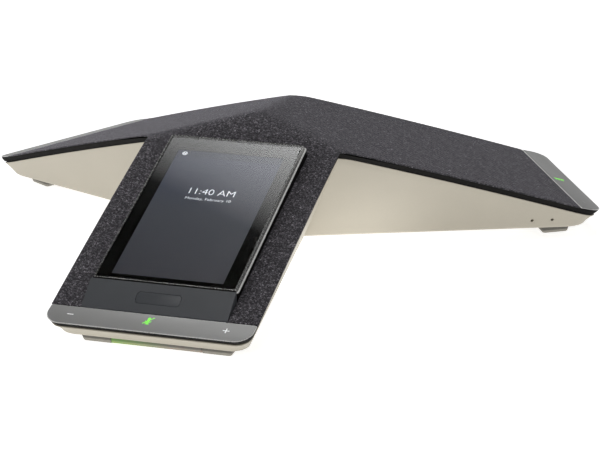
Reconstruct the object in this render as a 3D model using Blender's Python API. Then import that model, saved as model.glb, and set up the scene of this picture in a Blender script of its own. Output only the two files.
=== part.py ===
"""A three-armed tabletop conference phone, built piece by piece.

All sizes below are millimetres; `add` turns them into Blender's metres. The star's centre
is the middle of the speaker, and each arm has its own frame: x runs outward along the arm,
y across it, z up. Heights are measured from a level STAND above the table.
"""
import bpy
import bmesh
import math
from mathutils import Matrix, Vector

MM = 0.001

# ---- driving dimensions, in millimetres ----
ARM_LENGTH = 192.5          # star centre to the outer edge of a touch bar
HALF_ROOT = 57.5            # half the width of an arm where it leaves the star
HALF_TIP = 56.7             # and at its tip
TIP_RADIUS = 9.5            # plan radius of the outer corners
ROOF_PEAK = 76.6            # height at which the three roof planes would meet
ROOF_SLOPE = 0.325          # fall of each roof plane per millimetre along its arm
ROOF_CROWN = 1.25           # how far the middle of a roof plane bulges
CROWN_SPAN = 188.5          # length over which it does
TIP_BEND = 177.6            # where the roof turns to a gentler fall, under the touch bars
TIP_RISE = 1.2              # how far that lifts the tip
CREASE_SOFTNESS = 4.0       # blends the roof planes into each other
BAND = 3.44                 # height of the dark edge between roof and lower housing
BAND_INSET = 1.2            # how far the band's foot lies inside the roof's edge
END_INSET = 3.4             # the same at the tips
UNDERCUT = 0.431            # inward lean of the lower housing's walls
STAND = 1.0                 # height of the zero level over the table
FLOOR_CENTRE = 6.5          # height of the underside at the centre
FLOOR_FALL = 0.0103         # fall of the underside per millimetre outward
WALL = 2.4                  # wall of the lower housing, measured level
FLOOR = 2.2                 # its floor
GAP = 0.3                   # clearance between pieces that touch

SKIN = 0.6                  # thickness of the fabric cover and of the touch bars
BAR_DEPTH = 14.6            # touch bar, along the arm
MARK_OUT = 182.4            # the lit mark in it

DISPLAY_START = 42.8        # upper edge of the cover glass, along the front arm
DISPLAY_END = 162.0         # lower edge
DISPLAY_HALF = 38.75        # half the width of the display's opening in its bezel
DISPLAY_RISE_TOP = 7.35     # height of the glass over the roof at its upper edge
DISPLAY_RISE_END = 5.6      # and at its lower edge
BEZEL_RIM = 1.45            # width of the bezel outside the glass
TRAY_DEPTH = 11.5           # underside of the display tray below the glass

CHIN_START = 162.6          # the sloping cover below the display, along the front arm
CHIN_KNEE = 164.2
CHIN_END = 177.55
CHIN_HALF = 40.2
CHIN_WALL = 1.8
BUTTON_LENGTH = 24.4        # home button, across the arm
BUTTON_WIDTH = 7.0
BUTTON_TRAVEL = 0.6

SPEAKER_TOP = 60.0          # top of the speaker's flange
SPEAKER_RADIUS = 34.0
CONE_RADIUS = 27.5

FOOT_START, FOOT_END, FOOT_HALF = 160.2, 175.6, 40.9
LIGHT_HALF = 25.0           # half the length of the status light in a foot
SCREW_OUT, SCREW_ACROSS = 110.0, 22.0
MIC_OUT, MIC_ACROSS = 138.0, 47.0
PINHOLES_OUT, PINHOLE_PITCH, PINHOLE_HEIGHT = 150.2, 11.8, 11.2

BAY_HALF, BAY_BACK, BAY_LOW, BAY_HIGH = 27.0, 35.0, 10.5, 28.4
BAY_WALL = 1.6

SIDE_STEPS = 4              # pieces along each arm's side
ARC_STEPS = 6               # pieces in each rounded corner
ROUND_STEPS = 24            # pieces in a turned part

ARMS = {"front": -90.0, "right": 30.0, "left": 150.0}
# The star's centre sits behind the middle of the whole outline, so the model's origin is
# moved there from the star's centre.
CORNER_REACH = (ARM_LENGTH - TIP_RADIUS) * 0.5 + (HALF_TIP - TIP_RADIUS) * math.sqrt(0.75)
STAR_Y = (ARM_LENGTH - CORNER_REACH - TIP_RADIUS) / 2

for thing in list(bpy.data.objects):
    bpy.data.objects.remove(thing)


# ---- shapes of the whole phone ----
def reach(x, y):
    """How far out a point lies along its arm, blended where two arms meet."""
    total = 0.0
    for angle in ARMS.values():
        turn = math.radians(angle)
        total += math.exp((x * math.cos(turn) + y * math.sin(turn)) / CREASE_SOFTNESS)
    return CREASE_SOFTNESS * math.log(total)


def roof_along(u):
    """Height of the roof at a distance u along an arm."""
    share = max(u, 0.0) / CROWN_SPAN
    rise = TIP_RISE * max(u - TIP_BEND, 0.0) / (ARM_LENGTH - TIP_BEND)
    return ROOF_PEAK - ROOF_SLOPE * u + 4 * ROOF_CROWN * share * (1 - share) + rise


def roof(x, y):
    return roof_along(reach(x, y))


def floor_along(u):
    """Height of the lower housing's underside at a distance u along an arm."""
    return FLOOR_CENTRE - FLOOR_FALL * u


def half_width(u):
    root = HALF_ROOT / math.sqrt(3)
    return HALF_ROOT + (HALF_TIP - HALF_ROOT) * (u - root) / (ARM_LENGTH - root)


def wall_half(u, z):
    """Half-width of the lower housing at height z, a distance u along an arm."""
    rim = roof_along(u) - BAND - GAP
    return half_width(u) - BAND_INSET - (rim - z) * UNDERCUT


def display_height(u):
    """Height of the glass's plane over the table."""
    start = roof_along(DISPLAY_START) + DISPLAY_RISE_TOP
    end = roof_along(DISPLAY_END) + DISPLAY_RISE_END
    return start + (end - start) * (u - DISPLAY_START) / (DISPLAY_END - DISPLAY_START)


DISPLAY_TILT = math.atan2(display_height(0) - display_height(100), 100)
DISPLAY_LENGTH = (DISPLAY_END - DISPLAY_START) / math.cos(DISPLAY_TILT)
CHIN_TOP = display_height(CHIN_START) - 0.35
CHIN_KNEE_TOP = CHIN_TOP - 0.7
CHIN_LOW = roof_along(CHIN_END) + 0.3
CHIN_TILT = math.atan2(CHIN_KNEE_TOP - CHIN_LOW, CHIN_END - CHIN_KNEE)


# ---- outlines ----
def rounded(corners, radii, steps=ARC_STEPS):
    """A closed outline whose corners are replaced by arcs; a radius of 0 keeps the corner."""
    points = []
    for i, corner in enumerate(corners):
        here = Vector(corner)
        back = (Vector(corners[i - 1]) - here).normalized()
        ahead = (Vector(corners[(i + 1) % len(corners)]) - here).normalized()
        if radii[i] == 0:
            points.append(tuple(here))
            continue
        half = back.angle(ahead) / 2
        middle = here + (back + ahead).normalized() * radii[i] / math.sin(half)
        start = here + back * radii[i] / math.tan(half) - middle
        end = here + ahead * radii[i] / math.tan(half) - middle
        sweep = start.angle_signed(end)
        for step in range(steps + 1):
            spoke = start.copy()
            spoke.rotate(Matrix.Rotation(-sweep * step / steps, 2))
            points.append(tuple(middle + spoke))
    return points


def rectangle(x0, x1, y0, y1, radius=0.0, steps=ARC_STEPS):
    return rounded([(x0, y0), (x1, y0), (x1, y1), (x0, y1)], [radius] * 4, steps)


def circle(radius, steps=ROUND_STEPS, x=0.0, y=0.0):
    turns = [2 * math.pi * i / steps for i in range(steps)]
    return [(x + radius * math.cos(t), y + radius * math.sin(t)) for t in turns]


def turned(point, angle):
    c, s = math.cos(math.radians(angle)), math.sin(math.radians(angle))
    return point[0] * c - point[1] * s, point[0] * s + point[1] * c


def between(a, b, pieces):
    """The points that divide the line a-b, without its ends."""
    return [tuple(a[k] + (b[k] - a[k]) * i / pieces for k in (0, 1)) for i in range(1, pieces)]


def star(root, tip, length, radius):
    """The three-armed outline, anticlockwise, with straight sides divided evenly."""
    points = []
    notch = root / math.sqrt(3)
    for angle in ARMS.values():
        corners = [(notch, -root), (length, -tip), (length, tip), (notch, root)]
        arm = rounded(corners, [0, radius, radius, 0])
        side = between(arm[0], arm[1], SIDE_STEPS)
        other = between(arm[-2], arm[-1], SIDE_STEPS)
        points += [turned(p, angle) for p in arm[:1] + side + arm[1:-1] + other]
    return points


def wall_outline(level, length, radius, inset=0.0):
    """The lower housing's outline on the surface z = level(u)."""
    root = HALF_ROOT
    for _ in range(12):
        u = root / math.sqrt(3)
        root = wall_half(u, level(u)) - inset
    return star(root, wall_half(length, level(length)) - inset, length, radius)


# ---- meshes ----
def at_height(outline, height):
    """Lifts an outline to a height, or onto a surface given as a function of x and y."""
    if callable(height):
        return [(x, y, height(x, y)) for x, y in outline]
    return [(x, y, height) for x, y in outline]


def scaled(outline, factor):
    return [(x * factor, y * factor) for x, y in outline]


def skin(loops, start=None, end=None):
    """Joins loops of equal length into one closed surface, ended by fans or flat faces."""
    bm = bmesh.new()
    rings = [[bm.verts.new([c * MM for c in p]) for p in loop] for loop in loops]
    count = len(rings[0])
    for a, b in zip(rings, rings[1:]):
        for i in range(count):
            j = (i + 1) % count
            bm.faces.new((a[i], a[j], b[j], b[i]))
    for ring, tip in ((rings[0], start), (rings[-1], end)):
        if tip is None:
            bm.faces.new(ring)
            continue
        centre = bm.verts.new([c * MM for c in tip])
        for i in range(count):
            bm.faces.new((ring[i], ring[(i + 1) % count], centre))
    bmesh.ops.recalc_face_normals(bm, faces=bm.faces)
    return bm


def prism(outline, low, high):
    return skin([at_height(outline, low), at_height(outline, high)])


def box(x0, x1, y0, y1, z0, z1):
    return prism(rectangle(x0, x1, y0, y1), z0, z1)


def lathe(profile, steps=ROUND_STEPS):
    """Turns a closed profile of (radius, z) points round the z axis."""
    bm = bmesh.new()
    turns = [2 * math.pi * i / steps for i in range(steps)]
    rings = []
    for radius, z in profile:
        if radius == 0:
            rings.append([bm.verts.new((0, 0, z * MM))] * steps)
            continue
        ring = [(radius * MM * math.cos(t), radius * MM * math.sin(t), z * MM) for t in turns]
        rings.append([bm.verts.new(p) for p in ring])
    for k, a in enumerate(rings):
        b = rings[(k + 1) % len(rings)]
        for i in range(steps):
            j = (i + 1) % steps
            corners = list(dict.fromkeys((a[i], a[j], b[j], b[i])))
            if len(corners) > 2:
                bm.faces.new(corners)
    bmesh.ops.recalc_face_normals(bm, faces=bm.faces)
    return bm


def rings_of(outline, drop, length):
    """Copies of an outline shrunk toward the centre, each lying a drop below the roof."""
    shares = (0.25, 0.5, 0.75, TIP_BEND / length, 1.0)
    return [at_height(scaled(outline, s), lambda x, y: roof(x, y) - drop) for s in shares]


# ---- objects ----
COLOURS = {
    "putty": ((0.52, 0.48, 0.40), 0.55, 0.0),
    "fabric": ((0.09, 0.085, 0.09), 0.95, 0.0),
    "black": ((0.012, 0.012, 0.012), 0.5, 0.0),
    "bar": ((0.22, 0.22, 0.22), 0.4, 0.0),
    "chin": ((0.06, 0.062, 0.066), 0.4, 0.0),
    "glass": ((0.02, 0.02, 0.022), 0.05, 0.0),
    "screen": ((0.12, 0.14, 0.18), 0.3, 0.0),
    "trim": ((0.6, 0.6, 0.6), 0.3, 1.0),
    "board": ((0.02, 0.12, 0.05), 0.5, 0.0),
    "steel": ((0.5, 0.5, 0.5), 0.35, 1.0),
    "rubber": ((0.2, 0.19, 0.16), 0.8, 0.0),
    "light": ((0.3, 0.7, 0.15), 0.4, 0.0),
    "paper": ((0.05, 0.05, 0.05), 0.8, 0.0),
    "magnet": ((0.1, 0.1, 0.11), 0.5, 0.6),
}


def material(name, finish):
    colour, roughness, metallic = COLOURS[finish]
    made = bpy.data.materials.new(name)
    made.use_nodes = True
    shader = made.node_tree.nodes["Principled BSDF"]
    shader.inputs["Base Color"].default_value = (*colour, 1)
    shader.inputs["Roughness"].default_value = roughness
    shader.inputs["Metallic"].default_value = metallic
    return made


def add(name, bm, parent, finish=None):
    """Makes an object of a mesh. Without a finish it is a cutter."""
    mesh = bpy.data.meshes.new(name)
    bm.to_mesh(mesh)
    bm.free()
    made = bpy.data.objects.new(name, mesh)
    bpy.context.scene.collection.objects.link(made)
    made.parent = parent
    if finish is None:
        made.hide_render = True
        made.display_type = "WIRE"
        return made
    mesh.materials.append(material(name, finish))
    mesh.shade_smooth()
    mesh.set_sharp_from_angle(angle=math.radians(30))
    return made


def empty(name, parent=None, at=(0, 0, 0), turn=(0, 0, 0)):
    made = bpy.data.objects.new(name, None)
    bpy.context.scene.collection.objects.link(made)
    made.parent = parent
    made.location = Vector(at) * MM
    made.rotation_euler = turn
    return made


def combine(target, tool, operation):
    change = target.modifiers.new(tool.name, "BOOLEAN")
    change.operation = operation
    change.solver = "EXACT"
    change.object = tool


def cut(target, *tools):
    for tool in tools:
        combine(target, tool, "DIFFERENCE")


# ---- the pieces ----
def make_lower_housing(centre, arms):
    """The pale lower shell: undercut walls, a rounded foot and an open top."""
    def floor(above):
        return lambda u: floor_along(u) + above

    def on_floor(above):
        return lambda x, y: floor_along(reach(x, y)) + above

    def middle(x, y):
        return (rim(x, y) + floor_along(reach(x, y))) / 2

    def rim(x, y):
        return roof(x, y) - BAND - GAP

    def rim_along(u):
        return roof_along(u) - BAND - GAP

    def middle_along(u):
        return (rim_along(u) + floor_along(u)) / 2

    outside = [
        at_height(wall_outline(floor(0.0), ARM_LENGTH - 15.0, 7.0, 2.6), on_floor(0.0)),
        at_height(wall_outline(floor(0.7), ARM_LENGTH - 10.7, 7.6, 0.9), on_floor(0.7)),
        at_height(wall_outline(floor(2.4), ARM_LENGTH - 7.9, 8.0), on_floor(2.4)),
        at_height(wall_outline(middle_along, ARM_LENGTH - 5.9, 8.0), middle),
        at_height(wall_outline(rim_along, ARM_LENGTH - END_INSET, 8.0), rim),
    ]
    inside = [
        at_height(wall_outline(rim_along, ARM_LENGTH - END_INSET - WALL, 6.0, WALL), rim),
        at_height(
            wall_outline(floor(FLOOR + 1.0), ARM_LENGTH - 11.5, 5.6, WALL), on_floor(FLOOR + 1.0)
        ),
        at_height(wall_outline(floor(FLOOR), ARM_LENGTH - 13.5, 5.0, WALL + 1.0), on_floor(FLOOR)),
    ]
    bottom = (0, 0, floor_along(0))
    floor_top = (0, 0, floor_along(0) + FLOOR)
    shell = add("lower_housing", skin(outside + inside, bottom, floor_top), centre, "putty")
    whole = add("housing_envelope", skin(outside, bottom, (0, 0, roof(0, 0) - BAND)), centre)
    bay = BAY_HALF + BAY_WALL + GAP
    low, high = BAY_LOW - BAY_WALL - GAP, BAY_HIGH + BAY_WALL + GAP
    cut(shell, add("bay_cut", box(-bay, bay, 31, 90, low, high), centre))
    for arm_name, arm in arms.items():
        for side in (-1, 1):
            name = f"screw_cut_{arm_name}_{'a' if side < 0 else 'b'}"
            head = floor_along(SCREW_OUT) + 1.3
            hole = lathe([(0, -5), (3.3, -5), (3.3, head), (1.8, head), (1.8, 14), (0, 14)], 16)
            tool = add(name, hole, arm)
            tool.location = Vector((SCREW_OUT, side * SCREW_ACROSS, 0)) * MM
            cut(shell, tool)
    for number, u in enumerate((PINHOLES_OUT, PINHOLES_OUT + PINHOLE_PITCH)):
        tool = add(f"pinhole_cut_{number}", prism(circle(1.0, 12), -1.2, 4), arms["right"])
        across = wall_half(u, PINHOLE_HEIGHT)
        tool.location = Vector((u, -across, PINHOLE_HEIGHT)) * MM
        tool.rotation_euler = (math.pi / 2 + math.atan(UNDERCUT), 0, 0)
        cut(shell, tool)
    return whole


def screw_boss(name, arm, side, top):
    """A tube that hangs from a plate and takes a case screw from below."""
    tube = lathe([(0, 20), (1.6, 20), (1.6, 9.5), (3.6, 9.5), (3.6, top), (0, top)], 16)
    boss = add(name, tube, arm)
    boss.location = Vector((SCREW_OUT, side * SCREW_ACROSS, 0)) * MM
    return boss


def cut_display_opening(target, front, plane):
    """Opens a roof piece for the display's tray and for the chin below it."""
    half = CHIN_HALF + GAP
    tray = box(0.3 - BEZEL_RIM - GAP, DISPLAY_LENGTH + 2, -half, half, -40, 30)
    cut(target, add(f"{target.name}_tray_cut", tray, plane))
    chin = box(CHIN_START - 4, CHIN_END + 0.2, -half, half, 5, 90)
    cut(target, add(f"{target.name}_chin_cut", chin, front))


def make_top_frame(centre, arms, plane):
    """The black lid under the fabric, whose edge shows as a band all round. It has openings
    for the display, the speaker, the light guides and the microphones."""
    edge = star(HALF_ROOT - 0.3, HALF_TIP - 0.3, ARM_LENGTH - 0.5, TIP_RADIUS)
    foot = star(HALF_ROOT - BAND_INSET, HALF_TIP - BAND_INSET, ARM_LENGTH - END_INSET, TIP_RADIUS - 2)
    upper = rings_of(edge, SKIN + GAP, ARM_LENGTH)
    lower = rings_of(foot, BAND, ARM_LENGTH)[::-1]
    top, bottom = (0, 0, roof(0, 0) - SKIN - GAP), (0, 0, roof(0, 0) - BAND)
    frame = add("top_frame", skin(upper + lower, top, bottom), centre, "black")
    for arm_name in ("right", "left"):
        for side in (-1, 1):
            name = f"boss_{arm_name}_{'a' if side < 0 else 'b'}"
            top = roof_along(SCREW_OUT) - BAND + 1.0
            combine(frame, screw_boss(name, arms[arm_name], side, top), "UNION")
    cut_display_opening(frame, arms["front"], plane)
    cut(frame, add("speaker_cut", grille_slots(28.0, 4.0, 7.0), centre))
    for arm_name, arm in arms.items():
        guide = box(MARK_OUT - 3.1, MARK_OUT + 3.1, -2.9, 2.9, 8, 30)
        cut(frame, add(f"guide_cut_{arm_name}", guide, arm))
        mic = add(f"mic_cut_{arm_name}", prism(circle(0.8, 10), 10, 60), arm)
        mic.location = Vector((MIC_OUT, MIC_ACROSS, 0)) * MM
        cut(frame, mic)


def grille_slots(radius, width, pitch):
    """Parallel slots that fill a circle, as one cutter."""
    slots = bmesh.new()
    rows = int((radius - width / 2) // pitch)
    for row in range(-rows, rows + 1):
        y = row * pitch
        half = math.sqrt(radius ** 2 - (abs(y) + width / 2) ** 2)
        outline = rectangle(-half, half, y - width / 2, y + width / 2, width / 2 - 0.01, 3)
        slot = prism(outline, 50, 90)
        mesh = bpy.data.meshes.new("slot")
        slot.to_mesh(mesh)
        slot.free()
        slots.from_mesh(mesh)
        bpy.data.meshes.remove(mesh)
    return slots


def make_fabric(centre, arms, plane):
    """The knitted cover: a thin skin over the roof, glued to the lid."""
    length = ARM_LENGTH + 4
    outer = star(HALF_ROOT, HALF_TIP, length, 2.0)
    under = star(HALF_ROOT - 0.2, HALF_TIP - 0.2, length, 2.0)
    loops = rings_of(outer, 0.0, length) + rings_of(under, SKIN, length)[::-1]
    top, bottom = (0, 0, roof(0, 0)), (0, 0, roof(0, 0) - SKIN)
    cover = add("fabric_cover", skin(loops, top, bottom), centre, "fabric")
    for arm_name, arm in arms.items():
        end = ARM_LENGTH - BAR_DEPTH - GAP
        cut(cover, add(f"fabric_end_{arm_name}", box(end, 210, -75, 75, 0, 40), arm))
    cut_display_opening(cover, arms["front"], plane)


def slab(outline, drop, thickness):
    """A plate that follows the roof along one arm."""
    top = [(x, y, roof_along(x) - drop) for x, y in outline]
    bottom = [(x, y, roof_along(x) - drop - thickness) for x, y in outline]
    u = sum(x for x, _ in outline) / len(outline)
    centre = (u, 0, roof_along(u) - drop)
    return skin([top, bottom], centre, (u, 0, centre[2] - thickness))


def make_touch_bar(name, arm):
    """The plate at an arm's tip, the light guide under its mark and the sensor board."""
    start = ARM_LENGTH - BAR_DEPTH
    half = half_width(start)
    corners = [(start, -half), (ARM_LENGTH, -HALF_TIP), (ARM_LENGTH, HALF_TIP), (start, half)]
    outline = rounded(corners, [0.8, TIP_RADIUS, TIP_RADIUS, 0.8], 8)
    add(f"touch_bar_{name}", slab(outline, 0.0, SKIN), arm, "bar")
    guide = slab(rectangle(MARK_OUT - 2.7, MARK_OUT + 2.7, -2.5, 2.5), SKIN + GAP, 2.2)
    add(f"light_guide_{name}", guide, arm, "light")
    board = slab(rectangle(173.5, 184.0, -40, 40), BAND + 0.5, 1.0)
    add(f"touch_board_{name}", board, arm, "board")


def make_mic_board(name, arm):
    across = MIC_ACROSS
    outline = rectangle(MIC_OUT - 8, MIC_OUT + 8, across - 4, across + 3.5)
    top = [(x, y, roof_along(x) - BAND - 0.4) for x, y in outline]
    bottom = [(x, y, roof_along(x) - BAND - 1.4) for x, y in outline]
    add(f"mic_board_{name}", skin([top, bottom]), arm, "board")


def make_foot(name, arm):
    """A tapered strip across the underside, with a status light set into its outer side."""
    top = floor_along(FOOT_END) - GAP
    low = rectangle(FOOT_START, FOOT_END, -FOOT_HALF, FOOT_HALF, 1.2, 3)
    high = rectangle(FOOT_START - 2.6, FOOT_END + 1.0, -FOOT_HALF - 1.6, FOOT_HALF + 1.6, 1.6, 3)
    shape = skin([at_height(low, -STAND), at_height(high, top)])
    foot = add(f"foot_{name}", shape, arm, "rubber")
    start = FOOT_END - 4.0
    gap = LIGHT_HALF + GAP
    cut(foot, add(f"light_cut_{name}", box(start - GAP, 190, -gap, gap, -2, 9), arm))
    low_edge = 0.4 - STAND
    face = [(start, low_edge), (FOOT_END + 0.1, low_edge), (FOOT_END + 1.0, top), (start, top)]
    ends = (-LIGHT_HALF, LIGHT_HALF)
    lens = skin([[(u, v, z) for u, z in face] for v in ends])
    add(f"status_light_{name}", lens, arm, "light")


def make_case_screw(name, arm, side):
    """A pan-head screw, head down, from the underside into its boss."""
    low = floor_along(SCREW_OUT) + 0.15
    profile = [(0, low), (2.9, low), (2.9, low + 0.9), (1.25, low + 0.9), (1.25, 18), (0, 18)]
    screw = add(name, lathe(profile, 16), arm, "steel")
    screw.location = Vector((SCREW_OUT, side * SCREW_ACROSS, 0)) * MM


def make_display(front, plane):
    """Glass, panel, back plate, board, bezel and tray, all parallel to the glass."""
    length, half = DISPLAY_LENGTH, DISPLAY_HALF

    glass = rectangle(GAP, length - GAP, -half + GAP, half - GAP, 1.2)
    add("cover_glass", prism(glass, -1.1, 0.0), plane, "glass")
    add("lcd_panel", box(9.5, 123.5, -33.5, 33.5, -3.4, -1.4), plane, "screen")
    add("display_backplate", box(3, 123, -37, 37, -4.8, -3.8), plane, "steel")
    add("display_board", box(25, 95, -28, 28, -8.4, -6.8), plane, "board")

    rim = BEZEL_RIM
    inner = rectangle(0, length, -half, half, 1.4)
    outer = rectangle(-rim + 0.5, length + 0.3, -half - rim + 0.5, half + rim - 0.5, 1.8)
    lip = rectangle(-rim, length + 0.35, -half - rim, half + rim, 2.2)
    bezel = closed_ring([
        at_height(inner, 0.05), at_height(outer, 0.05), at_height(lip, -2.0),
        at_height(lip, -2.6), at_height(inner, -2.6),
    ])
    add("display_bezel", bezel, plane, "trim")

    deep, wall = -TRAY_DEPTH, 1.6
    outline = rectangle(-rim + 0.3, length, -half - rim + 0.3, half + rim - 0.3, 1.8)
    hollow = rectangle(-rim + wall, length - wall, -half - rim + 0.3 + wall, half + rim - 0.3 - wall, 1)
    tray = skin([
        at_height(outline, deep), at_height(outline, -2.9),
        at_height(hollow, -2.9), at_height(hollow, deep + wall),
    ])
    tray = add("display_tray", tray, plane, "black")
    for side in (-1, 1):
        top = display_height(SCREW_OUT) - (TRAY_DEPTH - wall / 2) / math.cos(DISPLAY_TILT)
        name = f"boss_front_{'a' if side < 0 else 'b'}"
        combine(tray, screw_boss(name, front, side, top), "UNION")


def closed_ring(loops):
    """A ring-shaped solid: the last loop joins the first."""
    bm = bmesh.new()
    rings = [[bm.verts.new([c * MM for c in p]) for p in loop] for loop in loops]
    count = len(rings[0])
    for k, a in enumerate(rings):
        b = rings[(k + 1) % len(rings)]
        for i in range(count):
            j = (i + 1) % count
            bm.faces.new((a[i], a[j], b[j], b[i]))
    bmesh.ops.recalc_face_normals(bm, faces=bm.faces)
    return bm


def make_chin(front):
    """The sloping cover below the display, hollow underneath."""
    low = roof_along(CHIN_END) - 3.1
    top_line = [(CHIN_START, CHIN_TOP), (CHIN_KNEE, CHIN_KNEE_TOP), (CHIN_END, CHIN_LOW)]
    foot = roof_along(CHIN_START) - 3.1
    section = [(CHIN_START, foot)] + top_line + [(CHIN_END, low)]
    block = skin([[(u, v, z) for u, z in section] for v in (-CHIN_HALF, CHIN_HALF)])
    chin = add("display_chin", block, front, "chin")
    drop = CHIN_WALL / math.cos(CHIN_TILT)
    inside = [
        (CHIN_START + CHIN_WALL, foot - 9), (CHIN_START + CHIN_WALL, CHIN_TOP - drop - 0.9),
        (CHIN_END - 1.2, CHIN_LOW - drop + 1.2 * math.tan(CHIN_TILT)), (CHIN_END - 1.2, low - 9),
    ]
    half = CHIN_HALF - CHIN_WALL
    hollow = skin([[(u, v, z) for u, z in inside] for v in (-half, half)])
    cut(chin, add("chin_hollow", hollow, front))
    return chin


def make_home_button(front, chin):
    """The long key in the chin with its switch; it moves along the chin's normal."""
    u = 170.4
    z = CHIN_KNEE_TOP - (u - CHIN_KNEE) * math.tan(CHIN_TILT)
    plane = empty("home_button_axis", front, (u, 0, z), (0, CHIN_TILT, 0))
    half_w, half_l = BUTTON_WIDTH / 2, BUTTON_LENGTH / 2

    hole = rectangle(-half_w - GAP, half_w + GAP, -half_l - GAP, half_l + GAP, 2.2)
    cut(chin, add("home_button_cut", prism(hole, -9, 6), plane))

    face = rectangle(-half_w, half_w, -half_l, half_l, 2.0)
    flange = rectangle(-half_w - 1.0, half_w + 1.0, -half_l - 1.5, half_l + 1.5, 2.0)
    stem = rectangle(-1.5, 1.5, -1.5, 1.5, 1.0)
    under = -CHIN_WALL - GAP
    loops = [
        at_height(face, 0.0), at_height(face, under), at_height(flange, under),
        at_height(flange, under - 0.8), at_height(stem, under - 0.8), at_height(stem, under - 1.8),
    ]
    add("home_button", skin(loops), plane, "chin")
    top = under - 1.8 - BUTTON_TRAVEL - 0.15
    switch = [(0, top), (1.7, top), (1.7, top - 0.8), (3, top - 0.8), (3, top - 3), (0, top - 3)]
    add("home_switch", lathe(switch, 16), plane, "steel")
    add("home_board", box(-4.0, 4.0, -12, 12, top - 4.3, top - 3.3), plane, "board")


def make_speaker(centre):
    """A small driver that faces up under the fabric, in its own chamber."""
    top, radius = SPEAKER_TOP, SPEAKER_RADIUS
    basket = [
        (radius, top), (radius, top - 2.0), (radius - 3, top - 2.0), (21, top - 15.0),
        (13.0, top - 15.0), (13.0, top - 13.6), (19.9, top - 13.6), (29.2, top - 0.8),
        (31.5, top - 0.8), (31.5, top),
    ]
    add("speaker_basket", lathe(basket, 32), centre, "steel")
    magnet = [
        (0, top - 16), (9.2, top - 16), (9.2, top - 21), (11.4, top - 21), (11.4, top - 15.3),
        (20, top - 15.3), (20, top - 25), (0, top - 25),
    ]
    add("speaker_magnet", lathe(magnet, 24), centre, "magnet")
    driver = empty("speaker_axis", centre, (0, 0, top))
    cone = [
        (CONE_RADIUS, 0.3), (CONE_RADIUS, -0.3), (10.6, -9.0), (10.6, -17.0), (9.8, -17.0),
        (9.8, -8.2), (26.5, 0.3),
    ]
    add("speaker_cone", lathe(cone, 32), driver, "paper")
    cap = [
        (12.2, -5.6), (11.4, -5.4), (7, -3.6), (0, -2.6), (0, -3.4), (7, -4.4), (11.6, -6.4),
        (12.0, -6.3),
    ]
    add("speaker_dust_cap", lathe(cap, 24), driver, "paper")
    roll = [
        (31.2, 0.0), (31.2, -0.5), (30.7, -0.5), (30.2, 0.7), (29.5, 1.1), (28.6, 0.7),
        (28.0, -0.4), (27.8, -0.4), (27.8, 0.3), (28.2, 1.3), (29.5, 1.8), (30.6, 1.2),
    ]
    add("speaker_surround", lathe(roll, 32), driver, "rubber")
    chamber = [
        (0, 30.6), (35, 30.6), (38.5, 33.6), (38.5, top - 2.3), (radius - 2, top - 2.3),
        (radius - 2, top - 3.9), (36.9, top - 3.9), (36.9, 34.2), (34.4, 32.2), (0, 32.2),
    ]
    add("speaker_enclosure", lathe(chamber, 32), centre, "black")


def make_electronics(centre, arms, whole):
    """The main board with its shield, the antennas, and the rear bay with its sockets."""
    clear = add("board_cut", box(-40, 40, 32.4, 90, 0, 60), centre)
    board = add("main_board", prism(star(22, 22, 100, 3), 12.0, 13.6), centre, "board")
    cut(board, clear)
    add("shield_can", box(-22, 22, -40, -8, 13.9, 17.9), centre, "steel")
    for name in ("right", "left"):
        antenna = box(118, 150, -10, 10, 10.6, 11.4)
        add(f"antenna_{name}", antenna, arms[name], "board")

    outer, wall = BAY_HALF + BAY_WALL, BAY_WALL
    bay = add("port_bay", box(-outer, outer, 33, 75, BAY_LOW - wall, BAY_HIGH + wall), centre, "black")
    cut(bay, add("bay_space", box(-BAY_HALF, BAY_HALF, BAY_BACK, 90, BAY_LOW, BAY_HIGH), centre))
    combine(bay, whole, "INTERSECT")
    make_socket("lan_jack", centre, bay, (-22.5, -6.5, 13.9, 27.4), (-20.4, -8.6, 16.2, 24.6), 14.0)
    make_socket("usb_a_socket", centre, bay, (-2.0, 12.4, 13.9, 21.0), (-1.2, 11.6, 14.8, 20.1), 13.0)
    make_socket("usb_c_socket", centre, bay, (16.4, 25.6, 13.9, 17.5), (16.9, 25.1, 14.4, 17.0), 7.0)


def make_socket(name, centre, bay, case, mouth, depth):
    """A socket body behind the bay's panel, with its mouth open to the rear."""
    x0, x1, z0, z1 = case
    front = 33 - GAP
    body = add(name, box(x0, x1, 15.5, front, z0, z1), centre, "steel")
    mx0, mx1, mz0, mz1 = mouth
    cut(body, add(f"{name}_mouth", box(mx0, mx1, front - depth, 60, mz0, mz1), centre))
    window = box(mx0 - 0.5, mx1 + 0.5, 20, 45, mz0 - 0.5, mz1 + 0.5)
    cut(bay, add(f"{name}_window", window, centre))


def build():
    centre = empty("star_centre", None, (0, STAR_Y, STAND))
    arms = {}
    for name, angle in ARMS.items():
        arms[name] = empty(f"arm_{name}", centre, (0, 0, 0), (0, 0, math.radians(angle)))
    whole = make_lower_housing(centre, arms)
    glass_edge = (DISPLAY_START, 0, display_height(DISPLAY_START))
    plane = empty("display_plane", arms["front"], glass_edge, (0, DISPLAY_TILT, 0))
    make_top_frame(centre, arms, plane)
    make_fabric(centre, arms, plane)
    for name, arm in arms.items():
        make_touch_bar(name, arm)
        make_mic_board(name, arm)
        make_foot(name, arm)
        make_case_screw(f"case_screw_{name}_a", arm, -1)
        make_case_screw(f"case_screw_{name}_b", arm, 1)
    make_display(arms["front"], plane)
    make_home_button(arms["front"], make_chin(arms["front"]))
    make_speaker(centre)
    make_electronics(centre, arms, whole)


build()
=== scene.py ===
import math

import bmesh
import bpy
from mathutils import Matrix, Vector


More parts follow.
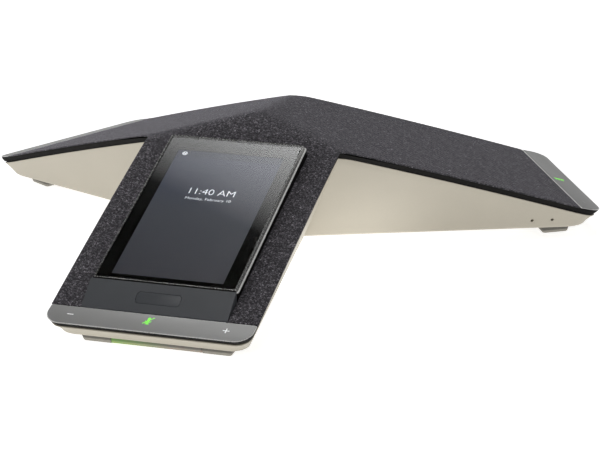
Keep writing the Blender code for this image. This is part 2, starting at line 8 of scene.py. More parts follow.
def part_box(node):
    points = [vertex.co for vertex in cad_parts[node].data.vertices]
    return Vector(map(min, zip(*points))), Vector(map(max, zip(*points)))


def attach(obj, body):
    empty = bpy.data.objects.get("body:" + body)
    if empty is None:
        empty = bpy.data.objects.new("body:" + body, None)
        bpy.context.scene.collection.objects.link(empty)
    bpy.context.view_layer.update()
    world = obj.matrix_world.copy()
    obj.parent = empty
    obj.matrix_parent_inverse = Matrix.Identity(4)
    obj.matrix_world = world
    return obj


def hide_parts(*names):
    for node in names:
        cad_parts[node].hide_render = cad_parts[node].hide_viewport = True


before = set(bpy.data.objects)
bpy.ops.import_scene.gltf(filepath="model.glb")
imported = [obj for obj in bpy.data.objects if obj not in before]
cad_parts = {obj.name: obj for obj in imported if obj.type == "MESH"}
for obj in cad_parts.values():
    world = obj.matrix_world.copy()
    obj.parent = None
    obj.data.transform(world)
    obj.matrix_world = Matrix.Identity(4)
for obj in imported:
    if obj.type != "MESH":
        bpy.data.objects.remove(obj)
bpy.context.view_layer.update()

MM = 0.001

# ---- the phone's shape, in millimetres, as the CAD has it ----
# Heights are above the housing's own zero, STAND above the table. OUT, START and END are
# distances out from the star's middle along an arm.
STAR_Y = (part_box("speaker_magnet")[0].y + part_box("speaker_magnet")[1].y) / 2 / MM
ARM_LENGTH = STAR_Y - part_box("touch_bar_front")[0].y / MM
HALF_ROOT, HALF_TIP, TIP_RADIUS = 57.5, 56.7, 9.5
ROOF_PEAK, ROOF_SLOPE = 76.6, 0.325
ROOF_CROWN, CROWN_SPAN = 1.25, 188.5
TIP_BEND, TIP_RISE = 177.6, 1.2
CREASE_SOFTNESS = 4.0
BAND, BAND_INSET, END_INSET = 3.44, 1.2, 3.4
UNDERCUT = 0.431
STAND = 1.0
FLOOR_CENTRE, FLOOR_FALL = 6.5, 0.0103
WALL, FLOOR, GAP = 2.4, 2.2, 0.3
SKIN = 0.6
BAR_DEPTH = 14.6
DISPLAY_START, DISPLAY_END, DISPLAY_HALF = 42.8, 162.0, 38.75
DISPLAY_RISE_TOP, DISPLAY_RISE_END = 7.35, 5.6
CHIN_START, CHIN_KNEE, CHIN_END, CHIN_HALF, CHIN_WALL = 162.6, 164.2, 177.55, 40.2, 1.8
BUTTON_OUT, BUTTON_LENGTH, BUTTON_WIDTH = 170.4, 24.4, 7.0
FOOT_START, FOOT_END, FOOT_HALF, LIGHT_HALF = 160.2, 175.6, 40.9, 25.0
SCREW_OUT, SCREW_ACROSS = 110.0, 22.0
PINHOLES_OUT, PINHOLE_PITCH, PINHOLE_HEIGHT = 150.2, 11.8, 11.2
BAY_HALF, BAY_LOW, BAY_HIGH, BAY_WALL, BAY_DEPTH = 27.0, 10.5, 28.4, 1.6, 31

# ---- what the visible pieces add to the CAD's shapes, in millimetres ----
FOOT_ROUND = 2.4
RIM_BEVEL, RIM_DROP = 0.4, 0.6
KEY_GAP = 0.14
MARK_HEIGHT, MARK_SINK = 0.05, 0.02
PICTURE_TOP, STRIP_END, PICTURE_END, PICTURE_HALF = 12.1, 17.3, 121.2, 31.0
PANEL_START, PANEL_END, PANEL_HALF = 9.5, 123.5, 33.5
SIGN_LOW, SIGN_HIGH = -1.38, -1.34
LIGHT_DEPTH = 4.0
LAN_MIDDLE, LAN_PITCH, LAN_PIN_HEIGHT = -14.5, 1.02, 23.6
SIGNS_OUT, MUTE_OUT, SIGNS_MIDDLE, SIGN_ACROSS = 184.6, 183.4, -0.7, 42.6

ARMS = {"front": -90.0, "right": 30.0, "left": 150.0}

# ---- finishes: colours are linear, lengths are in metres ----
FABRIC_SHEEN = 0.24
YARN = 0.00092
WEAVE_TURN = math.radians(45)
FABRIC_DARK = (0.0105, 0.0095, 0.0115)
FABRIC_MIDDLE = (0.047, 0.044, 0.049)
FABRIC_LIGHT = (0.118, 0.110, 0.122)
FABRIC_FLECK = (0.28, 0.265, 0.29)
SCREEN_GLOW = 1.0
SCREEN_STRIP = (0.0, 0.006, 0.025)
SCREEN_STOPS = (
    (0.0, (0.008, 0.015, 0.046)),
    (0.5, (0.028, 0.031, 0.041)),
    (1.0, (0.022, 0.022, 0.028)),
)
PUTTY = (0.425, 0.392, 0.322)
# Painted shade: where two putty walls meet, and wherever putty comes close to another surface,
# the colour goes down to CONTACT_SHADE.
CONTACT_REACH, CONTACT_OPEN, CONTACT_SHADE = 0.008, 0.75, (0.25, 0.24, 0.21)
# LENS_LIT is painted light: the lit lens's base colour, tinted by the status light's glow.
FOOT_TONE, LENS_LIT = (0.28, 0.265, 0.23), (0.24, 0.27, 0.11)
LENS_GLOW_FROM, LENS_GLOW_REACH = -0.026, 0.034
# Painted shade: a foot is FOOT_SHADE times as light in the narrow gap under the shell.
FOOT_SHADE, FOOT_GAP = 0.4, (0.0016, 0.0022)

# ---- the studio, in metres and watts ----
FLOOR_HALF, FLOOR_THICK = 4.0, 0.02
FLOOR_GLOW = 0.75
# The paper glows more in the corner between the front and right arms, to light the walls there.
FLOOR_SPOT, FLOOR_SPOT_AT, FLOOR_SPOT_SPAN = 1.3, (0.072, -0.014, 0.0), (0.0, 0.058)
WORLD_LIGHT = 0.53
# The sky is white low down and black high up: stops of (sine of the elevation, level).
SKY_STOPS = ((0.5, 1.0), (0.64, 0.0))
# Each light: where it is, where it points, its size and its power.
LIGHTS = {
    "overhead": ((0.0, -0.1, 1.5), (0, -0.05, 0.04), (0.8, 0.8), 5.8),
    "front_left": ((-0.9, -1.2, 0.35), (0, 0, 0.04), (0.6, 0.4), 6.5),
    "front_right": ((1.0, -1.2, 0.35), (0, 0, 0.04), (0.6, 0.4), 1.0),
}
# The photo camera's line of sight, mirrored at the glass's middle, goes GLARE_TOWARD.
GLASS_MIDDLE = (0.0, -0.0742, 0.0523)
GLARE_TOWARD = (-0.333, 0.4901, 0.8055)
GLARE_DISTANCE, GLARE_SIZE, GLARE_POWER = 1.0, 0.4, 1.42
GLARE_RAMP, GLARE_TURN = 0.104, 130.3

# ---- the camera, in radians and metres; its lens and sensor in millimetres ----
VIEW_AZIMUTH, VIEW_ELEVATION = 0.265, 0.353
VIEW_DISTANCE = 1.26957
VIEW_TARGET = (0.077336, STAR_Y * MM + 0.020237, 0.005128 + STAND * MM)
VIEW_LENS, VIEW_SENSOR = 128.72, 36.0
VIEW_SHIFT = -0.1654


# ---- shapes of the whole phone ----
def reach(x, y):
    """How far out a point lies along its arm, blended where two arms meet."""
    total = 0.0
    for angle in ARMS.values():
        turn = math.radians(angle)
        total += math.exp((x * math.cos(turn) + y * math.sin(turn)) / CREASE_SOFTNESS)
    return CREASE_SOFTNESS * math.log(total)


def roof_along(u):
    """Height of the roof at a distance u along an arm."""
    share = max(u, 0.0) / CROWN_SPAN
    rise = TIP_RISE * max(u - TIP_BEND, 0.0) / (ARM_LENGTH - TIP_BEND)
    return ROOF_PEAK - ROOF_SLOPE * u + 4 * ROOF_CROWN * share * (1 - share) + rise


def roof(x, y):
    return roof_along(reach(x, y))


def floor_along(u):
    return FLOOR_CENTRE - FLOOR_FALL * u


def half_width(u):
    root = HALF_ROOT / math.sqrt(3)
    return HALF_ROOT + (HALF_TIP - HALF_ROOT) * (u - root) / (ARM_LENGTH - root)


def wall_half(u, z):
    rim = roof_along(u) - BAND - GAP
    return half_width(u) - BAND_INSET - (rim - z) * UNDERCUT


def display_height(u):
    start = roof_along(DISPLAY_START) + DISPLAY_RISE_TOP
    end = roof_along(DISPLAY_END) + DISPLAY_RISE_END
    return start + (end - start) * (u - DISPLAY_START) / (DISPLAY_END - DISPLAY_START)


DISPLAY_TILT = math.atan2(display_height(0) - display_height(100), 100)
DISPLAY_LENGTH = (DISPLAY_END - DISPLAY_START) / math.cos(DISPLAY_TILT)
CHIN_TOP = display_height(CHIN_START) - 0.35
CHIN_KNEE_TOP = CHIN_TOP - 0.7
CHIN_LOW = roof_along(CHIN_END) + 0.3
CHIN_TILT = math.atan2(CHIN_KNEE_TOP - CHIN_LOW, CHIN_END - CHIN_KNEE)


# ---- places: each turns local millimetres into the phone's millimetres ----
def place(parent, at=(0, 0, 0), turn=0.0, axis="Z"):
    return parent @ Matrix.Translation(at) @ Matrix.Rotation(turn, 4, axis)


STAR = Matrix.Translation((0, STAR_Y, STAND))
ARM = {name: place(STAR, (0, 0, 0), math.radians(angle)) for name, angle in ARMS.items()}
DISPLAY = place(
    ARM["front"], (DISPLAY_START, 0, display_height(DISPLAY_START)), DISPLAY_TILT, "Y"
)
BUTTON_Z = CHIN_KNEE_TOP - (BUTTON_OUT - CHIN_KNEE) * math.tan(CHIN_TILT)
CHIN_FACE = place(ARM["front"], (BUTTON_OUT, 0, BUTTON_Z), CHIN_TILT, "Y")


# ---- outlines ----
def rounded(corners, radii, steps):
    """A closed outline whose corners become arcs. A radius of 0 keeps the corner."""
    points = []
    for i, corner in enumerate(corners):
        here = Vector(corner)
        back = (Vector(corners[i - 1]) - here).normalized()
        ahead = (Vector(corners[(i + 1) % len(corners)]) - here).normalized()
        if radii[i] == 0:
            points.append(tuple(here))
            continue
        half = back.angle(ahead) / 2
        middle = here + (back + ahead).normalized() * radii[i] / math.sin(half)
        start = here + back * radii[i] / math.tan(half) - middle
        end = here + ahead * radii[i] / math.tan(half) - middle
        sweep = start.angle_signed(end)
        for step in range(steps + 1):
            spoke = start.copy()
            spoke.rotate(Matrix.Rotation(-sweep * step / steps, 2))
            points.append(tuple(middle + spoke))
    return points


def rectangle(x0, x1, y0, y1, radius=0.0, steps=8):
    return rounded([(x0, y0), (x1, y0), (x1, y1), (x0, y1)], [radius] * 4, steps)


def turns(steps):
    return [2 * math.pi * i / steps for i in range(steps)]


def circle(radius, steps=32):
    return [(radius * math.cos(t), radius * math.sin(t)) for t in turns(steps)]


def turned(point, angle):
    c, s = math.cos(math.radians(angle)), math.sin(math.radians(angle))
    return point[0] * c - point[1] * s, point[0] * s + point[1] * c


def between(a, b, pieces):
    return [tuple(a[k] + (b[k] - a[k]) * i / pieces for k in (0, 1)) for i in range(1, pieces)]


def star(root, tip, length, radius):
    """The three-armed outline, anticlockwise, finely divided so that it follows the roof."""
    side_steps, arc_steps, end_steps = 28, 10, 20
    points = []
    notch = root / math.sqrt(3)
    for angle in ARMS.values():
        corners = [(notch, -root), (length, -tip), (length, tip), (notch, root)]
        arm = rounded(corners, [0, radius, radius, 0], arc_steps)
        half = (len(arm) - 2) // 2
        side = between(arm[0], arm[1], side_steps)
        end = between(arm[half], arm[half + 1], end_steps)
        other = between(arm[-2], arm[-1], side_steps)
        full = arm[:1] + side + arm[1:half + 1] + end + arm[half + 1:-1] + other
        points += [turned(p, angle) for p in full]
    return points


def wall_outline(level, length, radius, inset=0.0):
    """The lower housing's outline on the surface z = level(u).

    The notch between two arms is found by repetition: its place sets the height there."""
    root = HALF_ROOT
    for _ in range(12):
        u = root / math.sqrt(3)
        root = wall_half(u, level(u)) - inset
    return star(root, wall_half(length, level(length)) - inset, length, radius)


def at_height(outline, height):
    if callable(height):
        return [(x, y, height(x, y)) for x, y in outline]
    return [(x, y, height) for x, y in outline]


def scaled(outline, factor):
    return [(x * factor, y * factor) for x, y in outline]


# ---- meshes ----
def skin(loops, start=None, end=None, closed=False):
    """Joins loops of equal length into one surface.

    It is ended by fans or flat faces, or closed on itself like a frame."""
    bm = bmesh.new()
    rings = [[bm.verts.new(p) for p in loop] for loop in loops]
    count = len(rings[0])
    pairs = list(zip(rings, rings[1:]))
    if closed:
        pairs.append((rings[-1], rings[0]))
    for a, b in pairs:
        for i in range(count):
            j = (i + 1) % count
            bm.faces.new((a[i], a[j], b[j], b[i]))
    if not closed:
        for ring, tip in ((rings[0], start), (rings[-1], end)):
            if tip is None:
                bm.faces.new(ring)
                continue
            centre = bm.verts.new(tip)
            for i in range(count):
                bm.faces.new((ring[i], ring[(i + 1) % count], centre))
    bmesh.ops.recalc_face_normals(bm, faces=bm.faces)
    return bm


def prism(outline, low, high):
    return skin([at_height(outline, low), at_height(outline, high)])


def box(x0, x1, y0, y1, z0, z1):
    return prism(rectangle(x0, x1, y0, y1), z0, z1)


def extruded(section, half):
    """A block with the same section of (out, z) points all across an arm."""
    return skin([[(u, v, z) for u, z in section] for v in (-half, half)])


def lathe(profile, steps=32):
    """Turns a closed profile of (radius, z) points round the z axis."""
    bm = bmesh.new()
    rings = []
    for radius, z in profile:
        if radius == 0:
            rings.append([bm.verts.new((0, 0, z))] * steps)
            continue
        rings.append([bm.verts.new(p) for p in at_height(circle(radius, steps), z)])
    for k, a in enumerate(rings):
        b = rings[(k + 1) % len(rings)]
        for i in range(steps):
            j = (i + 1) % steps
            corners = list(dict.fromkeys((a[i], a[j], b[j], b[i])))
            if len(corners) > 2:
                bm.faces.new(corners)
    bmesh.ops.recalc_face_normals(bm, faces=bm.faces)
    return bm


def joined(*shapes):
    """Puts several shapes into one mesh."""
    whole = bmesh.new()
    for shape in shapes:
        mesh = bpy.data.meshes.new("part")
        shape.to_mesh(mesh)
        shape.free()
        whole.from_mesh(mesh)
        bpy.data.meshes.remove(mesh)
    return whole


def moved(bm, matrix):
    bmesh.ops.transform(bm, matrix=matrix, verts=bm.verts)
    return bm


def to_object(name, bm, where):
    """An object whose mesh holds its place, in metres."""
    bmesh.ops.transform(bm, matrix=Matrix.Scale(MM, 4) @ where, verts=bm.verts)
    mesh = bpy.data.meshes.new(name)
    bm.to_mesh(mesh)
    bm.free()
    made = bpy.data.objects.new(name, mesh)
    bpy.context.scene.collection.objects.link(made)
    return made


def cut(target, tools):
    """Takes the tools' shapes out of the target, then removes the tools."""
    for tool in tools:
        change = target.modifiers.new(tool.name, "BOOLEAN")
        change.operation = "DIFFERENCE"
        change.solver = "EXACT"
        change.object = tool
    bpy.context.view_layer.update()
    seen = target.evaluated_get(bpy.context.evaluated_depsgraph_get())
    mesh = bpy.data.meshes.new_from_object(seen)
    target.modifiers.clear()
    target.data = mesh
    for tool in tools:
        bpy.data.objects.remove(tool)


def soften_edges(target, width):
    """Rounds the piece's sharp edges."""
    bevel = target.modifiers.new("edge", "BEVEL")
    bevel.width = width * MM
    bevel.segments = 2
    bevel.limit_method = "ANGLE"
    bevel.angle_limit = math.radians(30)
    bevel.harden_normals = True


def piece(name, target, look, body="base", replaces=(), angle=30.0):
    """Gives a finished shape its material and its body, and hides the CAD parts it replaces."""
    target.name = name
    target.data.materials.clear()
    target.data.materials.append(look)
    target.data.shade_smooth()
    target.data.set_sharp_from_angle(angle=math.radians(angle))
    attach(target, body)
    if replaces:
        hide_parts(*replaces)
    return target


# ---- materials ----
def set_stops(band, stops):
    """Gives a colour ramp its stops, each a (position, (r, g, b))."""
    while len(band.elements) < len(stops):
        band.elements.new(0.5)
    for element, (position, colour) in zip(band.elements, stops):
        element.position = position
        element.color = (*colour, 1)


class Graph:
    """A material's nodes, with short calls for the ones used here."""

    def __init__(self, name, **sockets):
        self.material = bpy.data.materials.new(name)
        self.material.use_nodes = True
        self.tree = self.material.node_tree
        self.shader = self.tree.nodes["Principled BSDF"]
        for key, value in sockets.items():
            self.set(key.replace("_", " "), value)
        self.place = self.node("ShaderNodeTexCoord").outputs["Object"]

    def set(self, socket, value):
        target = self.shader.inputs[socket]
        if isinstance(value, bpy.types.NodeSocket):
            self.tree.links.new(value, target)
        else:
            target.default_value = (*value, 1) if isinstance(value, tuple) else value

    def node(self, kind, inputs=None, **settings):
        made = self.tree.nodes.new(kind)
        for key, value in settings.items():
            setattr(made, key, value)
        for key, value in (inputs or {}).items():
            if isinstance(value, bpy.types.NodeSocket):
                self.tree.links.new(value, made.inputs[key])
            else:
                made.inputs[key].default_value = value
        return made

    def stretched(self, scale, turn=0.0):
        inputs = {"Vector": self.place, "Scale": scale, "Rotation": (0, 0, turn)}
        return self.node("ShaderNodeMapping", inputs).outputs["Vector"]

    def along(self, axis):
        """The place's x, y or z, as axis 0, 1 or 2."""
        return self.node("ShaderNodeSeparateXYZ", {0: self.place}).outputs[axis]

    def noise(self, scale, detail=2.0, where=None, rough=0.5):
        inputs = {"Scale": scale, "Detail": detail, "Roughness": rough}
        inputs["Vector"] = where or self.place
        return self.node("ShaderNodeTexNoise", inputs).outputs["Fac"]

    def math(self, operation, a, b=0.0, c=0.0):
        made = self.node("ShaderNodeMath", {0: a, 1: b, 2: c}, operation=operation)
        return made.outputs[0]

    def mix(self, share, a, b):
        made = self.node("ShaderNodeMix", {0: share, 6: a, 7: b}, data_type="RGBA")
        return made.outputs[2]

    def product(self, a, b):
        settings = {"data_type": "RGBA", "blend_type": "MULTIPLY"}
        return self.node("ShaderNodeMix", {0: 1.0, 6: a, 7: b}, **settings).outputs[2]

    def ramp(self, value, *stops):
        """Colours between stops, each a (position, (r, g, b))."""
        made = self.node("ShaderNodeValToRGB", {0: value})
        set_stops(made.color_ramp, stops)
        return made.outputs[0]

    def spread(self, value, low, high, from_low=0.0, from_high=1.0):
        inputs = {"Value": value, 1: from_low, 2: from_high, 3: low, 4: high}
        return self.node("ShaderNodeMapRange", inputs).outputs[0]

    def bump(self, height, distance, strength):
        inputs = {"Height": height, "Distance": distance, "Strength": strength}
        self.set("Normal", self.node("ShaderNodeBump", inputs).outputs[0])


def tinted(colour, factor):
    return tuple(min(1.0, c * factor) for c in colour)


def grey(level):
    return (level, level, level)


def moulded(
    name, colour, roughness, grain, depth, spread, mottle=60.0, painted_shade=False, **sockets
):
    """Moulded plastic: a fine spark-eroded grain, faint mottling and an uneven gloss.

    One with painted shade is darker where surfaces come close to each other."""
    graph = Graph(name, **sockets)
    broad = graph.noise(mottle, 3.0)
    fine = graph.noise(grain, 2.0)
    dark, light = tinted(colour, 1 - spread), tinted(colour, 1 + spread)
    base = graph.ramp(broad, (0.3, dark), (0.7, light))
    base = graph.mix(0.35, base, graph.ramp(fine, (0.35, dark), (0.65, light)))
    if painted_shade:
        # Painted shade: an occlusion test darkens the colour near other surfaces.
        inputs = {"Distance": CONTACT_REACH}
        nearby = graph.node("ShaderNodeAmbientOcclusion", inputs, samples=8).outputs["AO"]
        shade = graph.ramp(nearby, (0.0, CONTACT_SHADE), (CONTACT_OPEN, grey(1)))
        base = graph.product(base, shade)
    graph.set("Base Color", base)
    graph.set("Roughness", graph.spread(fine, roughness - 0.05, roughness + 0.07, 0.3, 0.7))
    graph.bump(fine, depth, 0.6)
    return graph.material


def metal(name, colour, roughness):
    """Plated metal with a fine grain and a cloudy tone."""
    graph = Graph(name, Metallic=1.0)
    grain = graph.noise(700.0, 3.0)
    clouds = graph.noise(90.0, 2.0)
    dark, light = tinted(colour, 0.88), tinted(colour, 1.08)
    graph.set("Base Color", graph.ramp(clouds, (0.3, dark), (0.7, light)))
    graph.set("Roughness", graph.spread(grain, roughness - 0.08, roughness + 0.12, 0.3, 0.7))
    graph.bump(grain, 0.00001, 0.5)
    return graph.material


def knit():
    """Heathered plain weave.

    Yarns pass over and under each other, and shade is painted where they dip. Each is a
    little lighter or darker, and pale and dark patches of two sizes lie over them."""
    graph = Graph(
        "knit_fabric", Roughness=0.92, Specular_IOR_Level=0.17, Sheen_Weight=FABRIC_SHEEN,
        Sheen_Roughness=0.45, Sheen_Tint=(0.92, 0.90, 1.0),
    )
    parts = graph.node("ShaderNodeSeparateXYZ", {0: graph.stretched((1, 1, 1), WEAVE_TURN)})
    waves, cells = [], []
    for spot in parts.outputs[:2]:
        wave = graph.math("SINE", graph.math("MULTIPLY", spot, math.pi / YARN))
        waves.append(graph.math("ABSOLUTE", wave))
        cells.append(graph.math("FLOOR", graph.math("DIVIDE", spot, YARN)))
    over = graph.math("FLOORED_MODULO", graph.math("ADD", *cells), 2.0)
    height = graph.node("ShaderNodeMix", {0: over, 2: waves[0], 3: waves[1]}).outputs[0]
    warp = graph.noise(1.0, 1.0, graph.stretched((1200, 700, 1200), WEAVE_TURN))
    weft = graph.noise(1.0, 1.0, graph.stretched((700, 1200, 1200), WEAVE_TURN))
    tone = graph.node("ShaderNodeMix", {0: over, 2: warp, 3: weft}).outputs[0]
    fibre = graph.noise(1500.0, 1.0)
    heather = graph.noise(1000.0, 1.0)
    tone = graph.math("MULTIPLY", tone, 0.4)
    tone = graph.math("MULTIPLY_ADD", fibre, 0.25, tone)
    tone = graph.math("MULTIPLY_ADD", heather, 0.35, tone)
    base = graph.ramp(
        tone, (0.36, FABRIC_DARK), (0.48, FABRIC_MIDDLE), (0.57, FABRIC_LIGHT),
        (0.66, FABRIC_FLECK),
    )
    small = graph.noise(1050.0, 1.0)
    broad = graph.noise(400.0, 3.0, rough=0.75)
    # The first ramp paints shade where the yarns dip; the other two lay the patches.
    for value, *stops in (
        (height, (0.0, 0.2), (0.6, 1)),
        (small, (0.3, 0.35), (0.5, 0.9), (0.7, 2.0)),
        (broad, (0.32, 0.4), (0.5, 0.88), (0.68, 1.9)),
    ):
        levels = [(position, grey(level)) for position, level in stops]
        base = graph.product(base, graph.ramp(value, *levels))
    graph.set("Base Color", base)
    relief = graph.math("ADD", height, graph.math("MULTIPLY", fibre, 0.5))
    graph.bump(relief, 0.00012, 0.7)
    return graph.material


def circuit_board():
    """Green board with a faint regular pattern."""
    graph = Graph("circuit_board", Coat_Weight=0.3)
    inputs = {"Scale": 260.0, "Vector": graph.place, "Randomness": 0.0}
    cells = graph.node("ShaderNodeTexVoronoi", inputs, distance="MANHATTAN").outputs[0]
    mask = graph.ramp(
        cells, (0.40, (0.012, 0.10, 0.035)), (0.46, (0.03, 0.19, 0.07)),
        (0.6, (0.02, 0.14, 0.05)),
    )
    clouds = graph.noise(120.0, 2.0)
    share = graph.spread(clouds, 0.0, 0.35)
    graph.set("Base Color", graph.mix(share, mask, (0.01, 0.08, 0.03, 1)))
    graph.set("Roughness", graph.spread(clouds, 0.3, 0.5))
    graph.bump(cells, 0.00005, 0.5)
    return graph.material


def set_colour_with_gap_shade(graph, base):
    """Sets the base colour, with shade painted in the gap under the shell."""
    share = graph.spread(graph.along(2), 1.0, FOOT_SHADE, *FOOT_GAP)
    shade = graph.ramp(share, (0.0, grey(0)), (1.0, grey(1)))
    graph.set("Base Color", graph.product(base, shade))


def light_lens(name, glow=0.0):
    """A frosted lens. A lit one glows most at one end and fades along x, and there its base
    colour is painted with the light's green as well.
    """
    graph = Graph(name, Roughness=0.5, Subsurface_Weight=0.1)
    fine = graph.noise(700.0, 2.0)
    base = graph.ramp(fine, (0.3, tinted(FOOT_TONE, 0.9)), (0.7, tinted(FOOT_TONE, 1.05)))
    if glow:
        end = LENS_GLOW_FROM + LENS_GLOW_REACH
        fade = graph.spread(graph.along(0), 1.0, 0.0, LENS_GLOW_FROM, end)
        # Painted light: the base colour turns to LENS_LIT where the lens glows.
        base = graph.mix(fade, base, (*LENS_LIT, 1))
        light = graph.ramp(fine, (0.2, (0.02, 0.30, 0.005)), (0.8, (0.03, 0.34, 0.01)))
        graph.set("Emission Color", light)
        graph.set("Emission Strength", graph.math("MULTIPLY", fade, glow))
    # Painted shade in the gap under the shell.
    set_colour_with_gap_shade(graph, base)
    graph.bump(fine, 0.00002, 0.5)
    return graph.material


def foot_rubber():
    graph = Graph("foot_rubber", Roughness=0.8)
    fine = graph.noise(700.0, 2.0)
    dark, light = tinted(FOOT_TONE, 0.93), tinted(FOOT_TONE, 1.07)
    # Painted shade in the gap under the shell.
    set_colour_with_gap_shade(graph, graph.ramp(fine, (0.3, dark), (0.7, light)))
    graph.bump(fine, 0.00006, 0.6)
    return graph.material


def lit_mark(name, colour, strength):
    graph = Graph(name, Roughness=0.5, Emission_Strength=strength)
    fine = graph.noise(1500.0, 2.0)
    for socket in ("Base Color", "Emission Color"):
        graph.set(socket, graph.ramp(fine, (0.3, tinted(colour, 0.85)), (0.7, colour)))
    return graph.material


def screen_picture():
    """The lit picture: blue at the top, grey below, with a dark blue strip along the top."""
    def level(out):
        return (DISPLAY @ Vector((out, 0, 0))).y * MM

    graph = Graph("lcd", Roughness=0.4, Emission_Strength=SCREEN_GLOW)
    graph.set("Base Color", (0.01, 0.01, 0.012))
    x, y = graph.along(0), graph.along(1)
    share = graph.spread(y, 0.0, 1.0, level(PICTURE_TOP), level(PICTURE_END))
    field = graph.ramp(graph.math("SUBTRACT", share, x), *SCREEN_STOPS)
    strip = graph.math("GREATER_THAN", y, level(STRIP_END))
    clouds = graph.noise(14.0, 2.0)
    field = graph.mix(graph.spread(clouds, 0.0, 0.18), field, (0.03, 0.032, 0.04, 1))
    graph.set("Emission Color", graph.mix(strip, field, (*SCREEN_STRIP, 1)))
    return graph.material


def glass():
    graph = Graph("cover_glass", IOR=1.42, Transmission_Weight=1.0, Roughness=0.0)
    tint = graph.ramp(graph.noise(20.0, 1.0), (0.3, (0.97, 0.98, 0.98)), (0.7, grey(1)))
    graph.set("Base Color", tint)
    return graph.material


LOOKS = {
    "putty": moulded("putty_shell", PUTTY, 0.5, 1100.0, 0.00004, 0.035, 25.0, painted_shade=True),
    "fabric": knit(),
    "black": moulded(
        "black_plastic", (0.006, 0.0055, 0.005), 0.7, 900.0, 0.00003, 0.2,
        Specular_IOR_Level=0.12,
    ),
    "bar": moulded(
        "bar_plate", (0.312, 0.312, 0.307), 0.38, 1600.0, 0.00001, 0.03, 40.0, Metallic=0.35
    ),
    "chin": moulded("chin_plastic", (0.0495, 0.053, 0.0590), 0.42, 1300.0, 0.00002, 0.06),
    "mask": moulded(
        "glass_mask", (0.011, 0.011, 0.0105), 0.1, 500.0, 0.000002, 0.2, Specular_IOR_Level=0.25
    ),
    "glass": glass(),
    "lcd": screen_picture(),
    "trim_dark": moulded(
        "trim_side", (0.26, 0.26, 0.25), 0.25, 1200.0, 0.000005, 0.06, Metallic=0.8
    ),
    "trim": moulded(
        "silver_trim", (0.92, 0.91, 0.89), 0.3, 1500.0, 0.000005, 0.03, Metallic=0.55
    ),
    "board": circuit_board(),
    "zinc": metal("zinc_steel", (0.62, 0.63, 0.64), 0.36),
    "steel": metal("screw_steel", (0.42, 0.42, 0.43), 0.34),
    "foot": foot_rubber(),
    "light_front": light_lens("status_lens_front", glow=0.35),
    "light": light_lens("status_lens"),
    "guide": moulded("guide_acrylic", (0.75, 0.80, 0.76), 0.2, 500.0, 0.00001, 0.05),
    "paper": moulded("speaker_paper", (0.035, 0.035, 0.036), 0.85, 420.0, 0.00008, 0.25),
    "rubber": moulded("speaker_rubber", (0.02, 0.02, 0.021), 0.6, 600.0, 0.00003, 0.2),
    "ferrite": moulded("ferrite", (0.06, 0.06, 0.065), 0.5, 500.0, 0.00006, 0.2, Metallic=0.5),
    "white_mark": lit_mark("white_mark", (0.85, 0.86, 0.87), 0.55),
    # Unlit print with a faint painted glow.
    "dim_mark": lit_mark("dim_mark", (0.42, 0.43, 0.43), 0.05),
    "green_mark": lit_mark("green_mark", (0.19, 0.78, 0.06), 1.0),
    "screen_white": lit_mark("screen_white", (0.85, 0.88, 0.92), 0.9),
    "gold": metal("contact_gold", (0.83, 0.62, 0.25), 0.25),
}

NODE_LOOKS = {
    "black": ["top_frame", "display_tray", "port_bay", "speaker_enclosure"],
    "board": [
        "antenna_left", "antenna_right", "display_board", "home_board", "main_board",
        "mic_board_front", "mic_board_left", "mic_board_right",
        "touch_board_front", "touch_board_left", "touch_board_right",
    ],
    "zinc": [
        "display_backplate", "home_switch", "lan_jack", "shield_can", "speaker_basket",
        "usb_a_socket", "usb_c_socket",
    ],
    "guide": ["light_guide_front", "light_guide_left", "light_guide_right"],
    "paper": ["speaker_cone", "speaker_dust_cap"],
    "rubber": ["speaker_surround"],
    "ferrite": ["speaker_magnet"],
}


def paint_frame():
    """The CAD pieces that stay get a finished material too."""
    for look, names in NODE_LOOKS.items():
        for name in names:
            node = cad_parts[name]
            node.data.materials.clear()
            node.data.materials.append(LOOKS[look])
            node.data.shade_smooth()
            node.data.set_sharp_from_angle(angle=math.radians(30))


